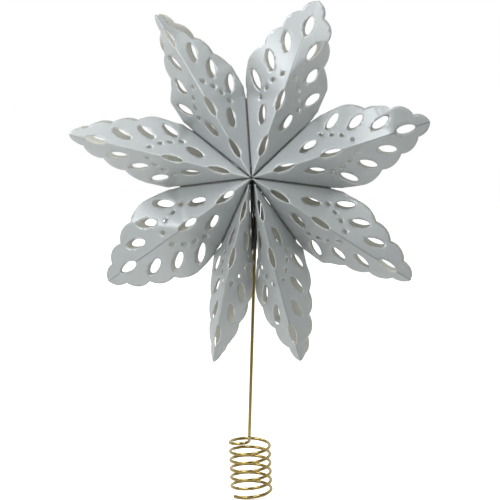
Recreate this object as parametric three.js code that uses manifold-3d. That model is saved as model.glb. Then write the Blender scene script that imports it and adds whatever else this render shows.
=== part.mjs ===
import * as THREE from 'three';
import { mergeVertices } from 'three/addons/utils/BufferGeometryUtils.js';
import Module from 'manifold-3d';

// A star of eight folded paper points on a wire stem with a coiled foot.
// Millimetres, +Z up. The star faces -Y and its mid-plane is the XZ plane.
// The origin is on the coil's axis, level with the coil's lowest end.

// Star as a whole
const starHeight = 220;
const ridgeLength = 128.5;
const halfDepth = 36;
// Degrees between a seam's folded edge and the mid-plane, which sets where the
// valleys between the points end.
const creaseAngle = 33.8;
// Degrees between the seams either side of each point, clockwise from the stem.
const pointOpenings = [24.9, 54.7, 44.1, 48.1, 53, 53.8, 48.1, 28.3];
// Degrees that each point's two panels lean back at the tip: 0 faces the front, 90
// faces sideways. The panel on the stem's side, clockwise, comes first.
const tipLeans = [[67, 67], [20, 28], [46, 41], [54, 43], [20, 20], [26, 28], [37, 47], [62, 65]];
// Share of the ridge where the lean reaches its value at the tip, and how fast
const tipLeanShare = 0.85;
const leanEase = 1.8;
// The two slim points beside the stem start this far out from the star's axis.
const slimApexInset = 3.8;

// Paper, glue and running gaps
const sheet = 0.3;
const glueLine = 0.1;
const coverCard = 0.8;
const clearance = 0.3;
const spineRoom = 0.3;
const spineRollRadius = 0.75;
const edgeStand = 0.8;
const smallestFold = 2;
// Share of the ridges' crossing that the seams give up at the closed end
const closedSlackShare = 0.65;

// Cut outline of one panel, from the valley end to the tip: the first share is
// of the ridge length, the second of the half depth.
const cornerShares = [0.587, 0.943];
const notchShares = [[0.691, 0.681], [0.809, 0.457], [0.921, 0.228]];
const scallopBulgeShares = [0.1, 0.18, 0.22, 0.15];
// No scallop passes the line from the corner through this spot.
const crestShares = [0.88, 0.43];

// Cut-outs of one panel: eye lengths follow the ridge, eye widths the half depth
const eyeLengthShare = 0.116;
const eyeWidthShare = 0.178;
const dotDiameter = 3.1;
const sideEyeShares = [[0.33, 0.351], [0.502, 0.715], [0.615, 0.487], [0.732, 0.285]];
const sideEyeTurns = [28, 34, 28, 19];
const ridgeEyeShares = [0.17, 0.426, 0.85];
const dotShares = [[0.42, 0.553], [0.472, 0.428], [0.52, 0.325], [0.564, 0.153]];

// Steps on round stretches
const eyeSteps = 12;
const ridgeEyeSteps = 6;
const dotSteps = 6;
const scallopSteps = 5;
// Steps at which the fold is looked at between open and closed, and the free edge
// between its corner and the tip
const foldSteps = 24;
const edgeSteps = 12;

// Wire
const wireRadius = 1;
const coilRadius = 13.5;
const coilPitch = 6.4;
const coilTurns = 5.875;
const bendRadius = 3;
const leadSwing = 9;
const leadDrop = 1.8;
const stemTopBelowStar = 25;
const wireSides = 6;
const loopSteps = 24;
const bendSteps = 6;
const leadSteps = 10;

// Fixings beside the stem
const strapTopBelowStar = 35;
const strapLength = 16;
const strapWing = 5;
const magnetRadius = 4;
const magnetThickness = 0.6;
const magnetBelowStar = 24;
const magnetFromMidPlane = 12;
const magnetSides = 20;
const rollSides = 10;

// Finishes
const silverPaper = { color: 0xaab2b6, roughness: 0.5, metalness: 0.25 };
const silverCard = { color: 0x9aa1a5, roughness: 0.6, metalness: 0.2 };
const plainPaper = { color: 0xcfcac0, roughness: 0.85, metalness: 0 };
const brassWire = { color: 0xc2a45a, roughness: 0.25, metalness: 1 };
const platedMagnet = { color: 0xc4c6c8, roughness: 0.3, metalness: 1 };

const turn = 2 * Math.PI;
const radians = THREE.MathUtils.degToRad;
const degrees = THREE.MathUtils.radToDeg;
const valleyRadius = halfDepth / Math.tan(radians(creaseAngle));
const eyeHalfLength = eyeLengthShare * ridgeLength / 2;
const eyeHalfWidth = eyeWidthShare * halfDepth / 2;
const seamThickness = 2 * sheet + glueLine;

const wasm = await Module();
wasm.setup();

const star = new THREE.Group();

function addPiece(name, geometry, finish, fold = null) {
  const mesh = new THREE.Mesh(geometry, new THREE.MeshStandardMaterial(finish));
  mesh.name = name;
  mesh.userData.fold = fold;
  star.add(mesh);
  return mesh;
}

// Turns a geometry's faces outward if its enclosed volume comes out negative.
function faceOutward(geometry) {
  const plain = geometry.index ? geometry.toNonIndexed() : geometry;
  const position = plain.getAttribute('position');
  const corners = [new THREE.Vector3(), new THREE.Vector3(), new THREE.Vector3()];
  let volume = 0;
  for (let i = 0; i < position.count; i += 3) {
    corners.forEach((corner, k) => corner.fromBufferAttribute(position, i + k));
    volume += corners[0].dot(corners[1].clone().cross(corners[2]));
  }
  if (volume < 0) {
    for (let i = 0; i < position.count; i += 3) {
      corners.forEach((corner, k) => corner.fromBufferAttribute(position, i + k));
      position.setXYZ(i + 1, corners[2].x, corners[2].y, corners[2].z);
      position.setXYZ(i + 2, corners[1].x, corners[1].y, corners[1].z);
    }
  }
  plain.deleteAttribute('normal');
  plain.deleteAttribute('uv');
  const merged = mergeVertices(plain);
  merged.computeVertexNormals();
  return merged;
}

function toSolid(geometry) {
  const closed = faceOutward(geometry);
  const vertProperties = new Float32Array(closed.getAttribute('position').array);
  const triVerts = new Uint32Array(closed.index.array);
  return new wasm.Manifold(new wasm.Mesh({ numProp: 3, vertProperties, triVerts }));
}

function fromSolid(solid) {
  const mesh = solid.getMesh();
  const geometry = new THREE.BufferGeometry();
  geometry.setAttribute('position', new THREE.BufferAttribute(mesh.vertProperties, 3));
  geometry.setIndex(new THREE.BufferAttribute(mesh.triVerts, 1));
  geometry.computeVertexNormals();
  return geometry;
}

// How far across from the ridge a panel reaches, past the valley end.
function reachAcross(along) {
  const [cornerAlong, cornerAcross] = [cornerShares[0] * ridgeLength, cornerShares[1] * halfDepth];
  const [crestAlong, crestAcross] = [crestShares[0] * ridgeLength, crestShares[1] * halfDepth];
  const [from, to] = along < cornerAlong
    ? [[valleyRadius, halfDepth], [cornerAlong, cornerAcross]]
    : [[cornerAlong, cornerAcross], [crestAlong, crestAcross]];
  return THREE.MathUtils.mapLinear(along, from[0], to[0], from[1], to[1]);
}

// Lean of a panel this far from its apex. Past the valley end it runs to the tip's
// lean, held so that the free edge stays on its own side of the mid-plane.
function leanAt(bag, tipLean, fromApex) {
  const { seamLength, apexInset, dip, lean } = bag;
  const past = fromApex - seamLength;
  if (past <= 0) {
    return lean;
  }
  const share = Math.min(past / (tipLeanShare * ridgeLength - apexInset - seamLength), 1);
  const wanted = THREE.MathUtils.lerp(lean, radians(tipLean), 1 - (1 - share) ** leanEase);
  const rise = halfDepth - fromApex * Math.sin(dip) - edgeStand;
  const reach = reachAcross(fromApex + apexInset);
  return Math.min(wanted, Math.asin(Math.min(rise / (reach * Math.cos(dip)), 1)));
}

// Least fold angle at which the free edge of a panel stays beside its own seam.
function edgeStop(bag, tipLean) {
  const { seamLength, apexInset, crease, lean } = bag;
  const room = (seamThickness + clearance) / 2;
  const start = cornerShares[0] * ridgeLength - apexInset;
  const end = ridgeLength - apexInset;
  let stop = 0;
  for (let i = 0; i <= edgeSteps; i += 1) {
    const fromApex = THREE.MathUtils.lerp(start, end, i / edgeSteps);
    const across = reachAcross(fromApex + apexInset);
    const twist = lean - leanAt(bag, tipLean, fromApex);
    const out = fromApex * Math.sin(crease) - across * Math.cos(twist) * Math.cos(crease);
    const lift = across * Math.sin(twist);
    stop = Math.max(stop, Math.atan2(lift, out) - Math.asin(room / Math.hypot(out, lift)));
  }
  return stop;
}

// One star point, worked out from its opening. The flat bag is folded along its
// ridge and along the crease from the apex to the valley end. Opening the bag
// tips the ridge down toward the mid-plane and leans the panels over.
function foldPoint(opening, leans, apexInset) {
  const half = radians(opening) / 2;
  const seamLength = valleyRadius - apexInset;
  const steepness = halfDepth / seamLength;
  const crease = Math.atan(steepness);
  const reach = Math.hypot(Math.cos(half), steepness);
  const dip = Math.atan2(steepness, Math.cos(half)) - Math.acos(1 / reach);
  const open = Math.asin(Math.sin(half) * Math.cos(dip) / Math.sin(crease));
  const lean = Math.asin((halfDepth - seamLength * Math.sin(dip)) / (halfDepth * Math.cos(dip)));
  const bag = { half, apexInset, seamLength, crease, dip, lean, open, leans };

  // Folding stops where the free edges of neighbouring points meet.
  const closed = Math.max(...leans.map((tipLean) => edgeStop(bag, tipLean)), radians(smallestFold));

  // The panels turn in step with the seams, so half way their ridges would
  // pass each other. The seams stop a little short of closed, which lessens
  // this, and the ridge edges stand back by the rest.
  const shut = halfOpening(crease, closed);
  const closedHalf = shut + closedSlackShare * worstCrossing(crease, open, closed, half, shut);
  const standBack = worstCrossing(crease, open, closed, half, closedHalf);
  return { ...bag, closed, closedHalf, standBack };
}

// The most that a ridge passes the middle of its point while the seams turn
// from half to closedHalf, as width of panel for each length of ridge.
function worstCrossing(crease, open, closed, half, closedHalf) {
  let worst = 0;
  for (let i = 1; i < foldSteps; i += 1) {
    const fold = THREE.MathUtils.lerp(open, closed, i / foldSteps);
    const halfNow = THREE.MathUtils.lerp(half, closedHalf, i / foldSteps);
    const outward = Math.cos(crease) ** 2 + Math.sin(crease) ** 2 * Math.cos(fold);
    const sideways = Math.sin(crease) * Math.sin(fold);
    const crossing = sideways * Math.cos(halfNow) - outward * Math.sin(halfNow);
    const acrossOutward = Math.sin(crease) * Math.cos(crease) * (1 - Math.cos(fold));
    const acrossSideways = Math.cos(crease) * Math.sin(fold);
    const spread = acrossOutward * Math.sin(halfNow) + acrossSideways * Math.cos(halfNow);
    worst = Math.max(worst, crossing / spread);
  }
  return worst;
}

// Half the opening that goes with a fold angle at the crease.
function halfOpening(crease, fold) {
  const along = Math.cos(crease) ** 2 + Math.sin(crease) ** 2 * Math.cos(fold);
  return Math.atan2(Math.sin(crease) * Math.sin(fold), along);
}

const points = pointOpenings.map((opening, i) => {
  const besideStem = i === 0 || i === pointOpenings.length - 1;
  return foldPoint(opening, tipLeans[i], besideStem ? slimApexInset : 0);
});

// The seams and the two covers are flat plates round the star's axis. Each has
// its inner end, its direction outward and its normal toward the next point.
function makePlates() {
  const plates = [];
  const count = pointOpenings.length + 1;
  let angle = -turn / 4;
  const origin = new THREE.Vector2();
  for (let k = 0; k < count; k += 1) {
    const isCover = k === 0 || k === count - 1;
    const thickness = isCover ? coverCard : seamThickness;
    const creaseOffset = thickness / 2 + clearance + sheet / 2;
    const along = new THREE.Vector2(Math.cos(angle), Math.sin(angle));
    const normal = new THREE.Vector2(Math.sin(angle), -Math.cos(angle));
    const plate = { isCover, thickness, creaseOffset, along, normal, hingeOffset: creaseOffset + spineRoom };
    if (k > 0) {
      const point = points[k - 1];
      const before = plates[k - 1];
      origin.copy(before.origin);
      origin.addScaledVector(before.along, point.apexInset);
      origin.addScaledVector(before.normal, before.hingeOffset);
      plate.hinge = origin.clone();
      origin.addScaledVector(plate.normal, plate.hingeOffset);
      origin.addScaledVector(plate.along, -point.apexInset);
    }
    plate.origin = origin.clone();
    plates.push(plate);
    if (k < points.length) {
      angle -= 2 * points[k].half;
    }
  }
  // The first cover lies beside the wire and the plates' mean is the centre.
  const centre = new THREE.Vector2();
  plates.slice(1, -1).forEach((plate) => centre.addScaledVector(plate.origin, 1 / (count - 2)));
  const shift = new THREE.Vector2(-wireRadius - clearance - coverCard / 2, starHeight - centre.y);
  plates.forEach((plate) => {
    plate.origin.add(shift);
    if (plate.hinge) {
      plate.hinge.add(shift);
    }
  });
  return plates;
}

const plates = makePlates();

// From a plate's own measures (outward, off its plane, toward the front) to the
// star's place.
function onPlate(plate, outward, off, depth) {
  const flat = plate.origin.clone();
  flat.addScaledVector(plate.along, outward);
  flat.addScaledVector(plate.normal, off);
  return new THREE.Vector3(flat.x, -depth, flat.y);
}

// Place of a spot of the flat panel once it is folded: along the ridge, across
// from it, and up through the paper. Returns outward, off-plane and depth.
function foldSheet(point, tipLean, along, across, lift) {
  const { half, dip, apexInset } = point;
  const fromApex = along - apexInset;
  const lean = leanAt(point, tipLean, fromApex);
  const sideways = across * Math.cos(lean) + lift * Math.sin(lean);
  const down = across * Math.sin(lean) - lift * Math.cos(lean);
  const ahead = fromApex * Math.cos(dip) - down * Math.sin(dip);
  return new THREE.Vector3(
    ahead * Math.cos(half) + sideways * Math.sin(half),
    ahead * Math.sin(half) - sideways * Math.cos(half),
    halfDepth - fromApex * Math.sin(dip) - down * Math.cos(dip),
  );
}

function ellipsePoints(centre, halfLength, halfWidth, tilt, from, to, steps) {
  const list = [];
  for (let i = 0; i <= steps; i += 1) {
    const angle = THREE.MathUtils.lerp(from, to, i / steps);
    const spot = new THREE.Vector2(halfLength * Math.cos(angle), halfWidth * Math.sin(angle));
    list.push(spot.rotateAround(new THREE.Vector2(), tilt).add(centre));
  }
  return list;
}

// Inner points of a circular arc that bulges to the left of its chord.
function scallop(from, to, bulgeShare) {
  const chord = to.clone().sub(from);
  const length = chord.length();
  const sagitta = bulgeShare * length;
  const radius = (length ** 2 / 4 + sagitta ** 2) / (2 * sagitta);
  const side = new THREE.Vector2(-chord.y, chord.x).normalize();
  const centre = from.clone().add(to).multiplyScalar(0.5).addScaledVector(side, sagitta - radius);
  const start = from.clone().sub(centre);
  const sweep = 2 * Math.asin(length / (2 * radius));
  const list = [];
  for (let i = 1; i < scallopSteps; i += 1) {
    const angle = -sweep * i / scallopSteps;
    list.push(start.clone().rotateAround(new THREE.Vector2(), angle).add(centre));
  }
  return list;
}

// Flat cutting pattern of one panel, ridge along x.
function panelShape(point) {
  const place = ([alongShare, acrossShare]) => new THREE.Vector2(alongShare * ridgeLength, acrossShare * halfDepth);
  const ridgeEdge = (along) => point.standBack * (along - point.apexInset);
  const creaseSlope = Math.tan(point.crease);
  const apex = point.apexInset + 2 * spineRollRadius;
  const valleyAcross = halfDepth - edgeStand;
  const outline = [
    new THREE.Vector2(apex, (apex - point.apexInset) * creaseSlope),
    new THREE.Vector2(point.apexInset + valleyAcross / creaseSlope, valleyAcross),
  ];
  const stops = [cornerShares, ...notchShares, [1, 0]].map(place);
  stops[stops.length - 1].y = ridgeEdge(ridgeLength);
  outline.push(stops[0]);
  for (let i = 1; i < stops.length; i += 1) {
    outline.push(...scallop(stops[i - 1], stops[i], scallopBulgeShares[i - 1]), stops[i]);
  }
  [...ridgeEyeShares].reverse().forEach((share) => {
    const centre = new THREE.Vector2(share * ridgeLength, 0);
    const cut = Math.asin(ridgeEdge(centre.x) / eyeHalfWidth);
    const half = ellipsePoints(centre, eyeHalfLength, eyeHalfWidth, 0, cut, turn / 2 - cut, ridgeEyeSteps);
    outline.push(...half);
  });
  outline.push(new THREE.Vector2(apex, ridgeEdge(apex)));
  const shape = new THREE.Shape(outline.reverse());

  sideEyeShares.forEach((share, i) => {
    const tilt = radians(sideEyeTurns[i]);
    const ring = ellipsePoints(place(share), eyeHalfLength, eyeHalfWidth, tilt, 0, turn, eyeSteps);
    shape.holes.push(new THREE.Path(ring.slice(0, -1)));
  });
  dotShares.forEach((share) => {
    const ring = ellipsePoints(place(share), dotDiameter / 2, dotDiameter / 2, 0, 0, turn, dotSteps);
    shape.holes.push(new THREE.Path(ring.slice(0, -1)));
  });
  return shape;
}

// A panel hangs on a plate's crease, on the side toward its own point.
function addPanel(name, point, plate, side, facing) {
  const geometry = new THREE.ExtrudeGeometry(panelShape(point), { depth: sheet, bevelEnabled: false });
  const position = geometry.getAttribute('position');
  const tipLean = point.leans[side > 0 ? 0 : 1];
  for (let i = 0; i < position.count; i += 1) {
    const lift = position.getZ(i) - sheet / 2;
    const folded = foldSheet(point, tipLean, position.getX(i), position.getY(i), lift);
    const outward = folded.x + point.apexInset;
    const off = side * (plate.creaseOffset + folded.y);
    const placed = onPlate(plate, outward, off, facing * folded.z);
    position.setXYZ(i, placed.x, placed.y, placed.z);
  }
  const from = onPlate(plate, point.apexInset, side * plate.creaseOffset, facing * halfDepth);
  const to = onPlate(plate, valleyRadius, side * plate.creaseOffset, 0);
  const axis = to.clone().sub(from).normalize().multiplyScalar(-side * facing);
  addPiece(name, faceOutward(geometry), silverPaper, {
    from, axis, range: degrees(point.open - point.closed),
  });
}

// A glued seam: the triangle between the front apex, the valley end and the
// back apex, with the rolled bag ends along the star's axis.
function plateOutline(inset) {
  return new THREE.Shape([
    new THREE.Vector2(inset, -halfDepth),
    new THREE.Vector2(valleyRadius, 0),
    new THREE.Vector2(inset, halfDepth),
  ]);
}

function standPlate(geometry, plate) {
  const position = geometry.getAttribute('position');
  for (let i = 0; i < position.count; i += 1) {
    const off = position.getZ(i) - plate.thickness / 2;
    const placed = onPlate(plate, position.getX(i), off, position.getY(i));
    position.setXYZ(i, placed.x, placed.y, placed.z);
  }
  return geometry;
}

function addSeam(name, plate, point) {
  const flat = new THREE.ExtrudeGeometry(plateOutline(0), { depth: plate.thickness, bevelEnabled: false });
  const roll = new THREE.CylinderGeometry(spineRollRadius, spineRollRadius, 2 * (halfDepth - edgeStand), rollSides);
  roll.translate(plate.origin.x, 0, plate.origin.y);
  const solid = toSolid(standPlate(flat, plate)).add(toSolid(roll));
  const range = degrees(2 * (point.half - point.closedHalf));
  const from = new THREE.Vector3(plate.hinge.x, 0, plate.hinge.y);
  addPiece(name, fromSolid(solid), silverPaper, { from, axis: new THREE.Vector3(0, -1, 0), range });
}

function addCover(name, plate, fold) {
  const options = { depth: plate.thickness, bevelEnabled: false };
  const geometry = new THREE.ExtrudeGeometry(plateOutline(slimApexInset), options);
  addPiece(name, faceOutward(standPlate(geometry, plate)), silverCard, fold);
}

// The straight wire is laid on the first cover and held by a paper strap that
// bulges over it; its section is drawn in the XY plane and runs down the stem.
function strapShape() {
  const under = wireRadius + clearance;
  const over = under + sheet;
  const coverFace = -wireRadius - clearance;
  const wingUnder = coverFace + clearance;
  const wingOver = wingUnder + sheet;
  const underAngle = Math.acos(wingUnder / under);
  const overAngle = Math.acos(wingOver / over);
  const centre = new THREE.Vector2();
  const inner = ellipsePoints(centre, under, under, 0, underAngle, -underAngle, eyeSteps);
  const outer = ellipsePoints(centre, over, over, 0, -overAngle, overAngle, eyeSteps);
  return new THREE.Shape([
    new THREE.Vector2(wingUnder, strapWing),
    ...inner,
    new THREE.Vector2(wingUnder, -strapWing),
    new THREE.Vector2(wingOver, -strapWing),
    ...outer,
    new THREE.Vector2(wingOver, strapWing),
  ]);
}

function addStrap() {
  const geometry = new THREE.ExtrudeGeometry(strapShape(), { depth: strapLength, bevelEnabled: false });
  geometry.translate(0, 0, starHeight - strapTopBelowStar - strapLength);
  addPiece('stem_strap', faceOutward(geometry), plainPaper);
}

// Thin round magnets on the covers' inner faces, which hold the star open.
function addMagnet(name, plate, side, facing) {
  const disc = new THREE.CylinderGeometry(magnetRadius, magnetRadius, magnetThickness, magnetSides);
  disc.rotateX(turn / 4);
  const off = side * (plate.thickness / 2 + clearance + magnetThickness / 2);
  const position = disc.getAttribute('position');
  for (let i = 0; i < position.count; i += 1) {
    const outward = magnetBelowStar + position.getX(i);
    const depth = facing * magnetFromMidPlane + position.getY(i);
    const placed = onPlate(plate, outward, off + position.getZ(i), depth);
    position.setXYZ(i, placed.x, placed.y, placed.z);
  }
  addPiece(name, faceOutward(disc), platedMagnet);
}

// Points of the wire: straight stem, bend to the front, a swing out to the
// coil's radius on the left, and the coil down to its cut end.
function wirePath() {
  const coilTop = wireRadius + coilTurns * coilPitch;
  const leadTop = coilTop + leadDrop;
  const path = [new THREE.Vector3(0, 0, starHeight - stemTopBelowStar)];
  for (let i = 0; i <= bendSteps; i += 1) {
    const angle = turn / 4 * i / bendSteps;
    const y = -bendRadius * (1 - Math.cos(angle));
    path.push(new THREE.Vector3(0, y, leadTop + bendRadius * (1 - Math.sin(angle))));
  }
  const lead = new THREE.CubicBezierCurve(
    new THREE.Vector2(0, -bendRadius),
    new THREE.Vector2(0, -bendRadius - leadSwing),
    new THREE.Vector2(-coilRadius, -leadSwing),
    new THREE.Vector2(-coilRadius, 0),
  );
  for (let i = 1; i < leadSteps; i += 1) {
    const spot = lead.getPoint(i / leadSteps);
    path.push(new THREE.Vector3(spot.x, spot.y, leadTop - leadDrop * (i / leadSteps) ** 2));
  }
  const steps = Math.round(coilTurns * loopSteps);
  for (let i = 0; i <= steps; i += 1) {
    const turned = turn * coilTurns * i / steps;
    const angle = turn / 2 - turned;
    const z = coilTop - coilPitch * turned / turn;
    path.push(new THREE.Vector3(coilRadius * Math.cos(angle), coilRadius * Math.sin(angle), z));
  }
  const last = path[path.length - 1];
  const heading = last.clone().sub(path[path.length - 2]).setZ(0).normalize();
  path.push(last.clone().addScaledVector(heading, 2 * wireRadius));
  return path;
}

// Least gap between stretches of the wire that aren't next to each other.
function leastGap(path) {
  let least = Infinity;
  for (let i = 0; i < path.length; i += 1) {
    let run = 0;
    for (let j = i + 1; j < path.length; j += 1) {
      run += path[j].distanceTo(path[j - 1]);
      const apart = path[i].distanceTo(path[j]);
      if (run > turn * wireRadius && apart < run / 2) {
        least = Math.min(least, apart - 2 * wireRadius);
      }
    }
  }
  return least;
}

// A tube of rings carried along the path without twisting, with flat ends.
function tubeAlong(path, radius, sides) {
  const positions = [];
  const index = [];
  let across = new THREE.Vector3(1, 0, 0);
  path.forEach((centre, k) => {
    const ahead = path[Math.min(k + 1, path.length - 1)];
    const behind = path[Math.max(k - 1, 0)];
    const toAhead = ahead.clone().sub(centre).normalize();
    const fromBehind = centre.clone().sub(behind).normalize();
    const heading = toAhead.add(fromBehind).normalize();
    across = across.clone().addScaledVector(heading, -across.dot(heading)).normalize();
    const upward = heading.clone().cross(across);
    for (let i = 0; i < sides; i += 1) {
      const angle = turn * i / sides;
      const spot = centre.clone()
        .addScaledVector(across, radius * Math.cos(angle))
        .addScaledVector(upward, radius * Math.sin(angle));
      positions.push(spot.x, spot.y, spot.z);
    }
    if (k > 0) {
      const here = k * sides;
      for (let i = 0; i < sides; i += 1) {
        const next = (i + 1) % sides;
        index.push(here - sides + i, here - sides + next, here + next);
        index.push(here - sides + i, here + next, here + i);
      }
    }
  });
  const lastRing = (path.length - 1) * sides;
  for (let i = 1; i < sides - 1; i += 1) {
    index.push(0, i + 1, i);
    index.push(lastRing, lastRing + i, lastRing + i + 1);
  }
  const geometry = new THREE.BufferGeometry();
  geometry.setAttribute('position', new THREE.Float32BufferAttribute(positions, 3));
  geometry.setIndex(index);
  return geometry;
}

const path = wirePath();
console.log(`Wire: least gap to itself ${leastGap(path).toFixed(2)} mm on ${path.length} points`);
addPiece('wire_stem_and_coil', faceOutward(tubeAlong(path, wireRadius, wireSides)), brassWire);

const firstCover = plates[0];
const lastCover = plates[plates.length - 1];
const lastPoint = points[points.length - 1];
addCover('first_cover', firstCover, null);
addCover('last_cover', lastCover, {
  from: new THREE.Vector3(lastCover.hinge.x, 0, lastCover.hinge.y),
  axis: new THREE.Vector3(0, -1, 0),
  range: degrees(2 * (lastPoint.half - lastPoint.closedHalf)),
});
addStrap();
[['front', 1], ['back', -1]].forEach(([face, facing]) => {
  addMagnet(`first_cover_magnet_${face}`, firstCover, -1, facing);
  addMagnet(`last_cover_magnet_${face}`, lastCover, 1, facing);
});

points.forEach((point, i) => {
  const before = plates[i];
  const after = plates[i + 1];
  if (!after.isCover) {
    addSeam(`seam_${i + 1}`, after, point);
  }
  [['front', 1], ['back', -1]].forEach(([face, facing]) => {
    addPanel(`point_${i + 1}_${face}_a`, point, before, 1, facing);
    addPanel(`point_${i + 1}_${face}_b`, point, after, -1, facing);
  });
});

export default star;
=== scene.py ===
"""Paper snowflake star on its wire stem: the finished look of the part.

Lengths inside the shape functions are in millimetres and go to metres when a mesh is
written, while materials and the stage are in metres. +Z is up, the star faces -Y, and the
origin is on the coil's axis at its foot.
"""

import math
from collections import namedtuple

import bpy
import numpy as np
from mathutils import Matrix, Vector
from mathutils.geometry import delaunay_2d_cdt


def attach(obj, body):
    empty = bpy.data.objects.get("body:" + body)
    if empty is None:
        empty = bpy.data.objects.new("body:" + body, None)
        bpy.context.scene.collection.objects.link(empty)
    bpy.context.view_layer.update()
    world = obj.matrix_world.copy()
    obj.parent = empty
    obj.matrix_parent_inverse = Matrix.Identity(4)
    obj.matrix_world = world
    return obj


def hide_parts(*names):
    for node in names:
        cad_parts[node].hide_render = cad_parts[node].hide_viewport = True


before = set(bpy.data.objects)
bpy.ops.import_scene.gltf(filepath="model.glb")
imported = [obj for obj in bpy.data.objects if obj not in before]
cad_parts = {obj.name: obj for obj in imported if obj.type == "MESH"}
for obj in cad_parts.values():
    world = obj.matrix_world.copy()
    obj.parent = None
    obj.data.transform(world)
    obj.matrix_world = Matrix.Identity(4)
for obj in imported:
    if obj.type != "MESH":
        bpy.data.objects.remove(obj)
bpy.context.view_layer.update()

bl_info = {
    "name": "Paper snowflake star",
    "version": (1, 0, 0),
    "blender": (4, 5, 0),
    "location": "View3D > Sidebar > Star",
    "description": "Folded paper star with cut-outs on a coiled wire stem",
    "category": "Add Mesh",
}

MM = 0.001
WHITE = (1.0, 1.0, 1.0, 1.0)

# One star point, clockwise from the stem: opening in degrees between its seams, bow of its
# ridge past the valley end in degrees for each millimetre, sway of its whole ridge to one
# side in degrees and sideways bend of its tip in millimetres (positive toward its a panels),
# the lean of its two panels at the tip in degrees, the tone of its ridge line from the hub
# to the tip (1 pale, worn coating and painted highlight; -1 dark, painted shade), and
# whether it is one of the slim ones.
Point = namedtuple("Point", "opening bow sway bend lean_a lean_b crest slim")
POINTS = (
    Point(24.9, 0.17, 0.0, 4.4, 54.0, 66.0, 0.3, True),
    Point(54.7, 0.22, 0.0, -1.0, 13.0, 26.0, -0.5, False),
    Point(44.1, 0.04, 0.0, 0.5, 46.0, 41.0, 1.0, False),
    Point(48.1, 0.07, 0.0, 1.6, 52.0, 43.0, 1.0, False),
    Point(53.0, 0.17, 0.0, -1.1, 12.0, 46.0, 0.2, False),
    Point(53.8, 0.25, 0.0, 0.0, 26.0, 26.0, -0.8, False),
    Point(48.1, 0.10, 0.0, 0.9, 36.0, 47.0, -0.8, False),
    Point(31.5, 0.11, -3.1, 2.2, 58.0, 40.0, -0.6, True),
)

# The panels beside the stem curl in toward it: their lean grows across by this many degrees
# to each side of its mean.
CURLS = {(1, "a"): 25.0, (8, "b"): 25.0}

# Hand-bent tips of single front panels. The bend crosses the ridge at a share of its length
# and runs outward by slope for each millimetre across. Past it the panel has another lean,
# in degrees, which comes in over a width in millimetres.
Bend = namedtuple("Bend", "share slope lean width")
BENDS = {
    (2, "b"): Bend(0.43, 1.38, 8.0, 9.0),
    (4, "a"): Bend(0.80, 0.6, 66.0, 4.0),
    (4, "b"): Bend(0.79, 0.9, 62.0, 3.0),
    (5, "b"): Bend(0.57, 1.9, 10.0, 2.0),
    (6, "a"): Bend(0.76, 0.3, 6.0, 5.0),
}

# Cut outline of a panel from the valley end to the tip. The first share is of the ridge
# length, the second of the half depth.
CORNER = (0.587, 0.943)
NOTCHES = ((0.691, 0.681), (0.809, 0.457), (0.921, 0.228))
SCALLOP_BULGES = (0.1, 0.18, 0.22, 0.19)
EYE_LENGTH = 0.116
EYE_WIDTH = 0.178
DOT_DIAMETER = 3.1
SIDE_EYES = ((0.33, 0.351, 28.0), (0.502, 0.715, 34.0), (0.615, 0.487, 28.0), (0.732, 0.285, 19.0))
RIDGE_EYES = (0.17, 0.426, 0.85)
DOTS = ((0.42, 0.553), (0.472, 0.428), (0.52, 0.325), (0.564, 0.153))

# A panel's lean reaches its value at the tip by this share of the ridge, eased by this power.
LEAN_DONE, LEAN_EASE = 0.85, 1.8
# Millimetres: least height of a ridge over the mid-plane, room that a panel's edge keeps
# from the mid-plane, and how far past its outline a panel is reckoned to reach.
RIDGE_FLOOR, EDGE_ROOM, EDGE_SPARE = 0.8, 0.45, 1.2
# Millimetres: where the pattern starts past the fold's end, and the rim along its edges that
# stays clear of inner mesh points.
PATTERN_START, EDGE_BARE = 0.5, 0.45
# Hub's middle to the left of the stem, in millimetres.
HUB_ASIDE = 1.7
# How far a seam's or a cover's rim stands back inside the folded edges, in millimetres.
PLATE_RECESS = 1.5
# Gap of the strap and the magnets to what they lie on, in millimetres.
FIXING_GAP = 0.05
# Wear and painted light: reach in millimetres of the pale line to each side of a ridge (worn
# coating and painted highlight), of the dark line of painted shade past a glued fold and of
# the painted shade on its flap, and how steeply the dark line's edge fades.
CREST_WIDTH, VALLEY_WIDTH, FLAP_WIDTH, VALLEY_EDGE = 0.35, 0.45, 9.0, 8.0
# Tone of a glued seam, painted dark as the shade in the groove between panels, and of
# the rolled end at the hub, drawn paler.
SEAM_SHADE, ROLL_PALE = -1.0, 0.6
# Where a glued seam starts from the hub and how thick it is, in millimetres.
SEAM_START, SEAM_THICKNESS = 0.3, 0.55
# Steps across a panel over which its lean is summed.
LEAN_STEPS = 24

Fold = namedtuple(
    "Fold",
    "half inset seam crease sway dip lean along ridge_out ridge_aside ridge_depth ridge_dip "
    "lean_a lean_b limit crest",
)
Plate = namedtuple("Plate", "along normal origin hinge angle")


def linear(code):
    """Linear colour of an sRGB hex code: the standard curve undone on each channel."""
    channels = [int(code[i:i + 2], 16) / 255 for i in (1, 3, 5)]
    return tuple(c / 12.92 if c <= 0.04045 else ((c + 0.055) / 1.055) ** 2.4 for c in channels)


def length(name, description, default):
    return bpy.props.FloatProperty(
        name=name, description=description, default=default, min=0.0, precision=5, unit="LENGTH"
    )


def angle(name, description, default):
    return bpy.props.FloatProperty(
        name=name, description=description, default=math.radians(default), unit="ROTATION"
    )


def setting(name, description, default, unit="NONE"):
    return bpy.props.FloatProperty(name=name, description=description, default=default, unit=unit)


def colour(name, description, code):
    return bpy.props.FloatVectorProperty(
        name=name, description=description, default=linear(code), subtype="COLOR", min=0.0, max=1.0
    )


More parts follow.
